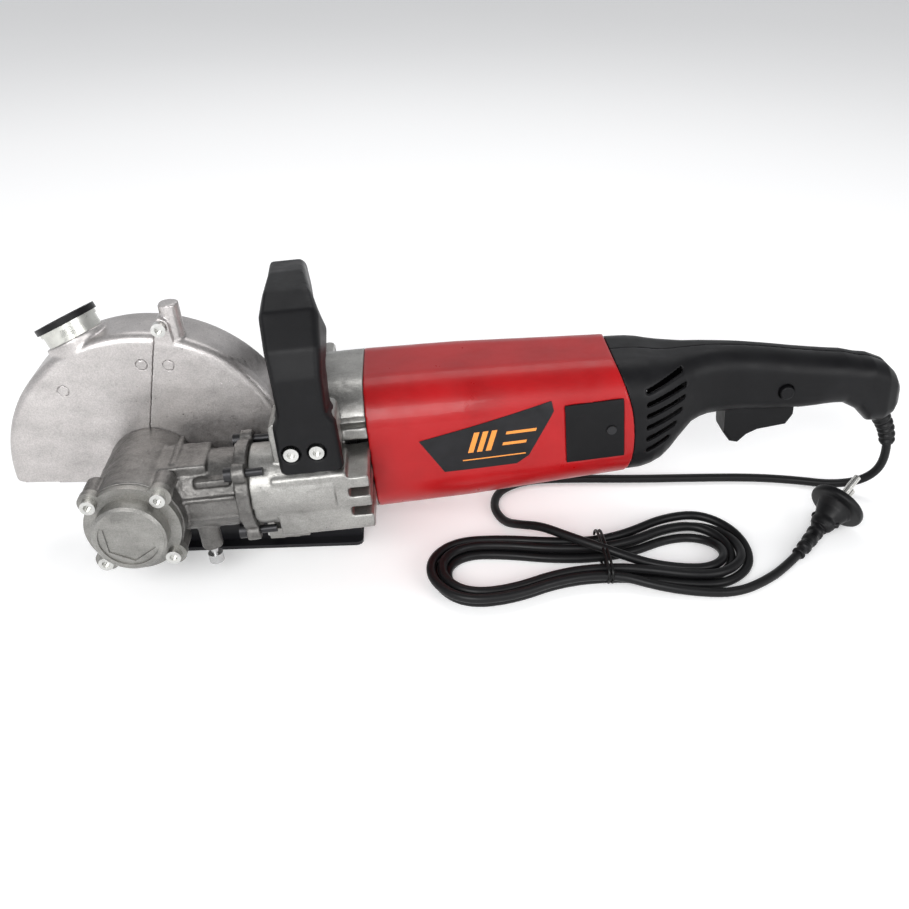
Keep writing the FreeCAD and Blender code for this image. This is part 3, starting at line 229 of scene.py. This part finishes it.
def turned(name, colour, roughness, scale=(1, 1, 1), line_mm=0.5, metallic=1.0):
    """Turned, ground or plated metal: fine tool lines along one direction, and faint smudges."""
    s = Shader(name, colour, roughness, metallic=metallic)
    lines = s.noise(line_mm, 2.0, 0.5, scale)
    smudge = s.noise(8.0, 4.0)
    s.colour(s.ramp(smudge, (0.3, tuple(c * 0.78 for c in colour)), (0.6, colour)))
    s.roughness(s.ramp(smudge, (0.3, roughness - 0.06), (0.75, roughness + 0.14)))
    s.bump(lines, 0.03, 0.5)
    return s.material


def rubbery(name, colour, roughness, coat=0.0):
    """Flexible cord and rubber: smooth with fine dust and a slow unevenness."""
    s = Shader(name, colour, roughness, specular=0.22, coat=coat)
    dust = s.ramp(s.noise(1.6, 6.0, 0.75), (0.58, colour), (0.85, tuple(c + 0.02 for c in colour)))
    s.colour(dust)
    s.roughness(s.ramp(s.noise(20.0, 4.0), (0.3, roughness - 0.08), (0.7, roughness + 0.1)))
    s.bump(s.noise(0.5, 2.0), 0.02, 0.5)
    return s.material


def label_material():
    """Black film with a generic mark: three slanted bars and two thin rules."""
    s = Shader("label_film", (0.006, 0.006, 0.007), 0.34, specular=0.25)
    split = s.node("ShaderNodeSeparateXYZ")
    s.link(s.place, split.inputs[0])
    x, z = split.outputs["X"], split.outputs["Z"]
    along = s.math("ADD", s.math("MULTIPLY", x, math.cos(TILT)), s.math("MULTIPLY", z, math.sin(TILT)))
    up = s.math("SUBTRACT", s.math("MULTIPLY", z, math.cos(TILT)), s.math("MULTIPLY", x, math.sin(TILT)))

    def box(low_x, high_x, low_z, high_z, lean):
        """One where the point is inside a slanted box of the label, in millimetres."""
        moved = s.math("SUBTRACT", along, s.math("MULTIPLY", up, lean))
        inside = None
        for value, low, high in ((moved, low_x, high_x), (up, low_z, high_z)):
            middle, half = (low + high) / 2 * MM, (high - low) / 2 * MM
            near = s.math("COMPARE", value, middle, half)
            inside = near if inside is None else s.math("MULTIPLY", inside, near)
        return inside

    marks = [box(200 + 5.6 * i, 203.4 + 5.6 * i, -1.0, 13.0, 0.35) for i in range(3)]
    marks.append(box(221, 240, 9.0, 11.0, 0.35))
    marks.append(box(221, 236, 1.5, 3.5, 0.35))
    marks.append(box(196, 236, -6.5, -5.7, 0.0))
    mark = marks[0]
    for other in marks[1:]:
        mark = s.math("MAXIMUM", mark, other)
    base = s.ramp(s.noise(12.0, 4.0), (0.3, (0.006, 0.006, 0.007)), (0.7, (0.012, 0.012, 0.014)))
    s.colour(s.mix(base, (0.72, 0.26, 0.05), mark))
    s.roughness(s.ramp(s.noise(6.0, 5.0), (0.3, 0.28), (0.75, 0.46)))
    s.bump(s.noise(0.4, 2.0), 0.015, 0.4)
    return s.material


def laminated(name):
    """Stacked steel sheets, seen as fine lines across the shaft."""
    s = Shader(name, (0.22, 0.21, 0.2), 0.5, metallic=0.7)
    sheets = s.noise(0.7, 1.0, 0.3, (1.0, 0.001, 0.001))
    s.colour(s.ramp(sheets, (0.4, (0.12, 0.115, 0.11)), (0.6, (0.33, 0.32, 0.31))))
    s.bump(sheets, 0.2, 0.7)
    return s.material


def wound(name, colour):
    """Lacquered wire, seen as fine lines along the slots."""
    s = Shader(name, colour, 0.35, metallic=0.75)
    wires = s.noise(1.1, 1.0, 0.3, (0.05, 1.0, 1.0))
    s.colour(s.ramp(wires, (0.35, tuple(c * 0.4 for c in colour)), (0.6, colour)))
    s.bump(wires, 0.4, 0.8)
    return s.material


def make_materials():
    """Every material by name; most names are also the slots of the record."""
    return {
        "red_plastic": moulded("red_plastic", (0.34, 0.004, 0.006), 0.34, 0.5, 0.02, 1.1, 0.1, 0.3),
        "black_plastic": moulded("black_plastic", (0.0045, 0.0045, 0.0052), 0.42, 0.5, 0.05, 1.35, 0.0, 0.18),
        "label_film": label_material(),
        "cast_aluminium": casting("cast_aluminium", (0.33, 0.325, 0.31), 0.38, 0.35, 6.0, 0.8, 0.14, 0.5),
        "dark_casting": casting("dark_casting", (0.17, 0.165, 0.158), 0.40, 0.55, 4.0, 1.1, 0.3, 0.8),
        "guard_casting": casting("guard_casting", (0.52, 0.495, 0.485), 0.36, 0.22, 9.0, 0.9, 0.07, 0.3),
        "cap_casting": casting("cap_casting", (0.28, 0.275, 0.26), 0.38, 0.45, 4.0, 0.9, 0.2, 0.7),
        "turned_metal": turned("turned_metal", (0.62, 0.62, 0.58), 0.27, (1, 1, 6)),
        "black_rubber": rubbery("black_rubber", (0.005, 0.005, 0.0055), 0.40),
        "tie_cord": rubbery("tie_cord", (0.007, 0.007, 0.007), 0.35),
        "black_steel": moulded("black_steel", (0.008, 0.008, 0.010), 0.34, 0.9, 0.05, 1.6, 0.15),
        "zinc_steel": turned("zinc_steel", (0.62, 0.62, 0.60), 0.27),
        "black_oxide": turned("black_oxide", (0.03, 0.03, 0.032), 0.34, metallic=0.7),
        "ground_steel": turned("ground_steel", (0.55, 0.55, 0.55), 0.26),
        "laminated_steel": laminated("laminated_steel"),
        "copper": wound("copper", (0.62, 0.28, 0.12)),
        "fan_plastic": moulded("fan_plastic", (0.02, 0.02, 0.022), 0.5),
        "carbon": moulded("carbon", (0.015, 0.015, 0.015), 0.7),
        "plated_brass": turned("plated_brass", (0.66, 0.65, 0.62), 0.2),
    }


MATERIALS = make_materials()


def paint(obj, material):
    """Gives an object one material, by name."""
    obj.data.materials.clear()
    obj.data.materials.append(MATERIALS[material])


def settle(obj, body, slot, material=None, replaces=()):
    """Gives a new piece its material (the slot's, unless another is given) and its body, and hides the CAD
    nodes that it stands for.
    """
    paint(obj, material or slot)
    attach(obj, body)
    if replaces:
        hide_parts(*replaces)
    return obj


# ---------------------------------------------------------------- mesh helpers
def add_mesh(name, verts, faces, smooth=True):
    mesh = bpy.data.meshes.new(name)
    mesh.from_pydata([tuple(v) for v in verts], [], faces)
    mesh.validate()
    if smooth:
        mesh.shade_smooth()
    obj = bpy.data.objects.new(name, mesh)
    bpy.context.scene.collection.objects.link(obj)
    return obj


def lofted(name, rings, capped=True):
    """A closed skin over rings that hold the same number of points."""
    around = len(rings[0])
    verts = [p for ring in rings for p in ring]
    faces = []
    for r in range(len(rings) - 1):
        for i in range(around):
            a, b = r * around + i, r * around + (i + 1) % around
            faces.append((a, b, b + around, a + around))
    if capped:
        faces.append(tuple(reversed(range(around))))
        last = (len(rings) - 1) * around
        faces.append(tuple(range(last, last + around)))
    obj = add_mesh(name, verts, faces)
    outwards(obj)
    return obj


def outwards(obj):
    """Turns the faces of a closed mesh outwards."""
    edit = bmesh.new()
    edit.from_mesh(obj.data)
    bmesh.ops.recalc_face_normals(edit, faces=edit.faces)
    edit.to_mesh(obj.data)
    edit.free()


def circle(centre, direction, radius, around=32, squeeze=1.0):
    """Points round a centre, in the plane across a direction; squeeze flattens them upwards."""
    direction = direction.normalized()
    side = direction.cross(Vector((0, 0, 1)))
    side = side.normalized() if side.length > 1e-6 else Vector((0, 1, 0))
    up = side.cross(direction)
    angles = [2 * math.pi * i / around for i in range(around)]
    return [centre + side * (radius * math.cos(a)) + up * (radius * squeeze * math.sin(a)) for a in angles]


def curve_through(points, steps):
    """A Catmull-Rom line through points."""
    line = []
    for i in range(len(points) - 1):
        p0, p1, p2 = points[max(i - 1, 0)], points[i], points[i + 1]
        p3 = points[min(i + 2, len(points) - 1)]
        for k in range(steps):
            t = k / steps
            line.append(0.5 * ((2 * p1) + (p2 - p0) * t + (2 * p0 - 5 * p1 + 4 * p2 - p3) * t * t
                               + (3 * p1 - p0 - 3 * p2 + p3) * t ** 3))
    line.append(points[-1].copy())
    return line


def turned_along(name, line, radius_at, around=32):
    """A solid of round sections along a line; radius_at takes the share of the way, from 0 to 1."""
    rings = []
    for i, p in enumerate(line):
        ahead = line[min(i + 1, len(line) - 1)] - line[max(i - 1, 0)]
        rings.append(circle(p, ahead, radius_at(i / (len(line) - 1)) * MM, around))
    return lofted(name, rings)


def copied(name, node):
    """A new object with a welded copy of a CAD node's mesh."""
    edit = bmesh.new()
    edit.from_mesh(NODES[node].data)
    bmesh.ops.remove_doubles(edit, verts=edit.verts, dist=0.004 * MM)
    mesh = bpy.data.meshes.new(name)
    edit.to_mesh(mesh)
    edit.free()
    obj = bpy.data.objects.new(name, mesh)
    bpy.context.scene.collection.objects.link(obj)
    return obj


def applied(obj):
    """Replaces the object's mesh by what its modifiers make of it."""
    bpy.context.view_layer.update()
    depsgraph = bpy.context.evaluated_depsgraph_get()
    mesh = bpy.data.meshes.new_from_object(obj.evaluated_get(depsgraph))
    obj.modifiers.clear()
    obj.data = mesh
    return obj


def carve(obj, cutters):
    """Cuts other objects out of this one, and removes them."""
    for cutter in cutters:
        modifier = obj.modifiers.new("carve", "BOOLEAN")
        modifier.operation = "DIFFERENCE"
        modifier.solver = "EXACT"
        modifier.object = cutter
    applied(obj)
    for cutter in cutters:
        bpy.data.objects.remove(cutter)
    return obj


def joined(obj, others):
    """Puts other objects' meshes into this one, as they are, and removes them."""
    edit = bmesh.new()
    for source in (obj, *others):
        edit.from_mesh(source.data)
    edit.to_mesh(obj.data)
    edit.free()
    for other in others:
        bpy.data.objects.remove(other)
    return obj


def softened(obj, voxel_mm, rounds, roughness_mm=0.0, lump_mm=6.0):
    """Remeshes a solid so that its corners and joints run into each other, as cast or moulded ones do."""
    remesh = obj.modifiers.new("remesh", "REMESH")
    remesh.mode = "VOXEL"
    remesh.voxel_size = voxel_mm * MM
    smooth = obj.modifiers.new("smooth", "SMOOTH")
    smooth.factor, smooth.iterations = 0.5, rounds
    applied(obj)
    if roughness_mm:
        mesh = obj.data
        normals = [v.normal.copy() for v in mesh.vertices]
        for v, n in zip(mesh.vertices, normals):
            lump = noise.noise(v.co * (1000.0 / lump_mm)) + 0.5 * noise.noise(v.co * (2600.0 / lump_mm))
            v.co += n * (lump * roughness_mm * MM)
    obj.data.shade_smooth()
    return obj


def rounded_box(name, centre, size, corner_mm):
    """A box with rounded edges, its centre and sizes in millimetres of the tool frame."""
    edit = bmesh.new()
    bmesh.ops.create_cube(edit, size=1.0)
    bmesh.ops.scale(edit, vec=Vector(size) * MM, verts=edit.verts)
    bmesh.ops.bevel(edit, geom=edit.edges[:], offset=corner_mm * MM, segments=3, profile=0.5,
                    affect="EDGES", clamp_overlap=True)
    bmesh.ops.translate(edit, vec=Vector(centre) * MM, verts=edit.verts)
    bmesh.ops.transform(edit, matrix=TOOL, verts=edit.verts)
    mesh = bpy.data.meshes.new(name)
    edit.to_mesh(mesh)
    edit.free()
    obj = bpy.data.objects.new(name, mesh)
    bpy.context.scene.collection.objects.link(obj)
    return obj


def rod(name, start, end, radius_mm, around=32):
    """A plain round bar between two points in metres, for cutting and joining."""
    return lofted(name, [circle(p, end - start, radius_mm * MM, around) for p in (start, end)])


# ---------------------------------------------------------------- cord
LEAD = [(494.3, 5, -11.8), (497.5, 5.5, -28), (489, 9, -45), (470, 17, -54), (445, 27, LYING),
        (413, 32.5, LYING), (372, 34, LYING), (326, 35, LYING), (282, 38, LYING), (248, 38, LYING),
        (226, 25, LYING), (220, 4, LYING), (226, -15, LYING), (236, -27, LYING + 6)]
CROSSING = [(248, -38, LYING + 12), (262, -50, LYING + 13), (276, -60, LYING + 13), (292, -68, LYING + 11)]
TAIL = [(318, -94, LYING + 2), (350, -99, LYING), (368, -97, LYING), (385, -88, LYING),
        (400, -77, LYING), (414, -64, LYING + 1.2)]
# One turn of the hank as its outermost and its innermost strand; both start at the lower right.
OUTER_TURN = [(318, -88), (341, -93), (365, -92), (387, -71), (386, -37), (364, -15), (334, -20),
              (305, -38), (281, -46), (252, -45), (222, -41), (191, -42), (173, -60), (173, -84),
              (191, -104), (222, -102), (256, -86), (290, -83)]
INNER_TURN = [(312, -73), (331, -79), (350, -80), (363, -70), (364, -54), (352, -42), (333, -42.5),
              (306, -56), (281, -61), (252, -60), (224, -54), (200, -52.5), (187, -63), (187, -80),
              (200, -91), (223, -88), (256, -73), (290, -69)]
TURNS = 4
LIFT = 5.4                  # of every second turn, over its neighbours
LIFT_AT = 4                 # the place in the turn where strands change between low and high
LIFT_SPREAD = 3.0           # how many places that change takes


def hank_turns():
    """The hank's turns, from the inner one out; every second turn rides up between its neighbours."""
    points, count = [], len(OUTER_TURN)
    total = TURNS * count
    for step in range(total):
        inner, outer = Vector(INNER_TURN[step % count]), Vector(OUTER_TURN[step % count])
        x, y = inner.lerp(outer, step / (total - 1))
        turn, past = divmod(step - LIFT_AT + LIFT_SPREAD / 2, count)
        blend = min(1.0, past / LIFT_SPREAD)
        blend = blend * blend * (3 - 2 * blend)
        high = blend if turn % 2 else 1.0 - blend
        points.append((x, y, LYING + LIFT * high))
    return points


def make_cord():
    """The whole lead as one line: from the handle, over the hank, round it, and out to the plug."""
    points = LEAD + CROSSING + hank_turns() + TAIL
    curve = bpy.data.curves.new("power_cord_line", "CURVE")
    curve.dimensions = "3D"
    spline = curve.splines.new("NURBS")
    spline.points.add(len(points) - 1)
    for place, point in zip(spline.points, points):
        place.co = (*row(*point), 1.0)
    spline.order_u = 3
    spline.use_endpoint_u = True
    spline.resolution_u = 8
    curve.bevel_depth = CORD_D / 2 * MM
    curve.bevel_resolution = 6
    curve.use_fill_caps = True
    cord = bpy.data.objects.new("mains_cord", curve)
    bpy.context.scene.collection.objects.link(cord)
    return settle(cord, "frame", "black_rubber", replaces=["power_cord", "cord_hank"])


cord = make_cord()


def ribbed(share, ribs, low, high):
    """A ring profile between two radii with steep flanks."""
    wave = math.sin(2 * math.pi * ribs * share)
    return low + (high - low) * min(1.0, max(0.0, 0.5 + 1.6 * wave))


FLANGE = (452.0, -28.0, SOLE_Z + 17.0)
PLUG_AXIS = Vector((0.708, 0.553, 0.438)).normalized()


def make_plug():
    """A moulded plug: ribbed strain relief, waisted grip and a round flange."""
    entry = row(*TAIL[-1])
    came = (Vector(TAIL[-1]) - Vector(TAIL[-2])).normalized()
    flange = row(*FLANGE)
    neck = flange - PLUG_AXIS * 20 * MM
    rising = entry + (came * 11 + Vector((0, 0, 1.6))) * MM
    line = curve_through([entry, rising, neck - PLUG_AXIS * 6 * MM, neck], 14)

    def relief_radius(share):
        """Five rings that grow towards the plug, then its plain neck."""
        return ribbed(share, 5, 3.2 + 1.5 * share, 4.3 + 1.8 * share) if share < 0.96 else 6.2

    relief = turned_along("plug_relief", line, relief_radius, 40)
    stations = [(-1.0, 6.5), (0.0, 7.4), (3.0, 8.4), (6.0, 8.0), (9.0, 9.4), (13.0, 11.2), (16.2, 11.8),
                (17.0, 12.4), (17.3, 17.2), (17.8, 18.2), (19.0, 18.6), (20.8, 18.6), (22.0, 18.2),
                (22.4, 17.0)]
    rings = [circle(neck + PLUG_AXIS * (d * MM), PLUG_AXIS, r * MM, 56, 1.0 if d > 16 else 0.8)
             for d, r in stations]
    body = lofted("plug", rings)
    side = PLUG_AXIS.cross(Vector((0, 0, 1))).normalized()
    nubs = []
    for sign in (-1, 1):
        centre = neck + PLUG_AXIS * (6.0 * MM) + side * (sign * 8.6 * MM)
        nubs.append(lofted("nub", [circle(centre + side * (sign * d * MM), side, r * MM, 16)
                                   for d, r in ((-2, 2.2), (0.4, 2.2), (1.2, 1.5))]))
    softened(joined(body, [relief, *nubs]), 0.45, 2)
    return settle(body, "frame", "black_rubber", replaces=["plug_body"])


def make_strain_relief():
    """The handle's cord outlet: a smooth root, then rings that get smaller down to the cord."""
    line = curve_through([tool(478, MOTOR_Y, -24), tool(485, MOTOR_Y, -34), tool(489.5, MOTOR_Y, -44),
                          tool(491.5, MOTOR_Y, -54)], 16)

    def radius(share):
        body = 6.2 - 1.7 * share
        return body if share < 0.3 or share > 0.97 else ribbed(share - 0.3, 7, body - 0.7, body + 0.7)

    return settle(turned_along("cord_outlet", line, radius, 40), "frame", "black_rubber",
                  replaces=["strain_relief"])


TIE_X, TIE_Y, TIE_Z = 286, -64, SOLE_Z + 8.6
TIE_PITCH, TIE_WIDE, TIE_TALL = 2.4, 23.5, 7.6
TIE_TURNS, TIE_STEPS, WIRE_R = 2, 71, 0.9


def make_tie():
    """Turns of plastic wire round the middle of the hank, close to its strands."""
    points = []
    for i in range(TIE_STEPS + 1):
        a = 2 * math.pi * TIE_TURNS * i / TIE_STEPS
        x = TIE_X + TIE_PITCH * (i / TIE_STEPS - 0.5) * 2
        y = TIE_Y + TIE_WIDE * math.copysign(abs(math.cos(a)) ** 0.55, math.cos(a))
        z = TIE_Z + TIE_TALL * math.copysign(abs(math.sin(a)) ** 0.7, math.sin(a))
        points.append(row(x, y, z))
    tie = turned_along("hank_tie", points, lambda share: WIRE_R, 12)
    return settle(tie, "frame", "tie_cord", replaces=["cord_tie"])


plug = make_plug()
outlet = make_strain_relief()
tie = make_tie()
paint(NODES["plug_pins"], "plated_brass")


# ---------------------------------------------------------------- castings
def make_gear_head():
    """Rough casting: fillets where its barrels meet, parting ledges and a lumpy skin."""
    head = copied("gear_case", "gear_head")
    added = [rounded_box("ledge", (29, -52, 20.5), (30, 30, 9), 1.5),
             rounded_box("ledge", (46, -30.5, 9), (34, 7, 3), 0.8),
             rounded_box("rib", (24, -46, 24), (4, 34, 4), 1.0),
             rounded_box("rib", (47, -75.2, 6.5), (40, 3.6, 2.6), 1.0),
             rounded_box("rib", (47, -73.5, -7.5), (40, 4.6, 2.2), 1.0),
             rounded_box("pad", (47, -70.5, 15.5), (22, 7, 5), 1.6)]
    softened(joined(head, added), 0.7, 4, 0.26, 5.0)
    return settle(head, "frame", "dark_casting", replaces=["gear_head"])


def make_front_casting():
    """The slotted casting, with the small fillets and faint lumps of a die casting."""
    case = copied("front_case", "front_casting")
    softened(case, 0.8, 3, 0.12, 5.0)
    return settle(case, "frame", "cast_aluminium", replaces=["front_casting"])


def make_guard():
    """Both guard halves, with round marks of the casting tool on their near side."""
    spots = {"guard_front": [(8, 72), (-43, 60)], "guard_rear": [(24, 70)]}
    for node, places in spots.items():
        half = copied(node + "_shell", node)
        softened(half, 0.8, 2, 0.05, 14.0)
        for x, z in places:
            groove = rod("groove", tool(x, -22, z), tool(x, -19.8, z), 3.7, 48)
            carve(groove, [rod("core", tool(x, -23, z), tool(x, -19, z), 3.1, 48)])
            carve(half, [groove])
        half.data.shade_smooth()
        settle(half, "frame", "guard_casting", replaces=[node])


def make_bow():
    """The front handle: a smooth moulded arch with a recessed panel on its foot."""
    bow = copied("front_handle", "bow_handle")
    carve(bow, [rounded_box("panel", (104, -77.2, 31), (30, 3.4, 17), 1.4)])
    softened(bow, 0.9, 16, 0.0)
    return settle(bow, "frame", "black_plastic", replaces=["bow_handle"])


# ---------------------------------------------------------------- housings
def make_housing():
    """The red housing, with moulded edges."""
    shell = copied("red_shell", "motor_housing")
    softened(shell, 0.9, 3)
    return settle(shell, "frame", "red_plastic", replaces=["motor_housing"])


def make_rear_handle():
    """Both shells of the rear handle, with moulded edges."""
    for node, name in (("rear_handle_near", "handle_shell_near"), ("rear_handle_far", "handle_shell_far")):
        shell = copied(name, node)
        softened(shell, 0.8, 3)
        settle(shell, "frame", "black_plastic", replaces=[node])


make_gear_head()
make_front_casting()
make_guard()
make_bow()
make_housing()
make_rear_handle()


# ---------------------------------------------------------------- everything that keeps its CAD shape
SPECIAL = {"bearing_cap": "cap_casting", "flange_screws": "black_oxide", "handle_screws": "black_oxide",
           "brush_cover_screws": "black_oxide", "plug_pins": "plated_brass"}
for part in frame["record"]["subparts"]:
    paint(NODES[part["node"]], SPECIAL.get(part["node"], part["material_slot"]))


# ---------------------------------------------------------------- studio
def make_floor():
    size = 4.0
    floor = add_mesh("floor", [(-size, -size, 0), (size, -size, 0), (size, size, 0), (-size, size, 0)],
                     [(0, 1, 2, 3)])
    floor.location.z = SOLE_Z * MM
    s = Shader("floor", (0.90, 0.90, 0.90), 0.9, specular=0.05)
    s.colour(s.ramp(s.noise(900.0, 2.0), (0.3, (0.89, 0.89, 0.89)), (0.7, (0.91, 0.91, 0.91))))
    s.set("Emission Color", (1.0, 1.0, 1.0, 1.0))
    s.set("Emission Strength", 0.22)
    floor.data.materials.append(s.material)


def area_light(name, place, target, size, watts, colour=(1, 1, 1)):
    data = bpy.data.lights.new(name, "AREA")
    data.shape, data.size, data.size_y = "RECTANGLE", size[0], size[1]
    data.energy, data.color = watts, colour
    lamp = bpy.data.objects.new(name, data)
    bpy.context.scene.collection.objects.link(lamp)
    lamp.location = place
    lamp.rotation_euler = (Vector(place) - Vector(target)).to_track_quat("Z", "Y").to_euler()


def make_world():
    """Bright round the horizon and darker overhead, so that upper faces read darker than sides."""
    world = bpy.data.worlds.new("studio")
    bpy.context.scene.world = world
    world.use_nodes = True
    tree = world.node_tree
    place = tree.nodes.new("ShaderNodeTexCoord")
    split = tree.nodes.new("ShaderNodeSeparateXYZ")
    tree.links.new(place.outputs["Generated"], split.inputs[0])
    ramp = tree.nodes.new("ShaderNodeValToRGB")
    ramp.color_ramp.elements[0].position, ramp.color_ramp.elements[1].position = 0.1, 0.75
    ramp.color_ramp.elements[0].color = (0.85, 0.86, 0.88, 1.0)
    ramp.color_ramp.elements[1].color = (0.34, 0.345, 0.355, 1.0)
    tree.links.new(split.outputs["Z"], ramp.inputs["Fac"])
    tree.links.new(ramp.outputs["Color"], tree.nodes["Background"].inputs["Color"])
    tree.nodes["Background"].inputs["Strength"].default_value = 0.9


def make_studio():
    centre = (0.2, 0.0, 0.0)
    area_light("key", (-0.35, -1.5, 1.0), centre, (1.5, 0.9), 30)
    area_light("fill", (1.2, -1.1, 0.6), centre, (0.9, 0.7), 8)
    area_light("top", (0.2, 0.9, 1.5), centre, (1.6, 0.8), 9)
    make_world()


make_floor()
make_studio()
bpy.context.scene.view_settings.view_transform = "Standard"
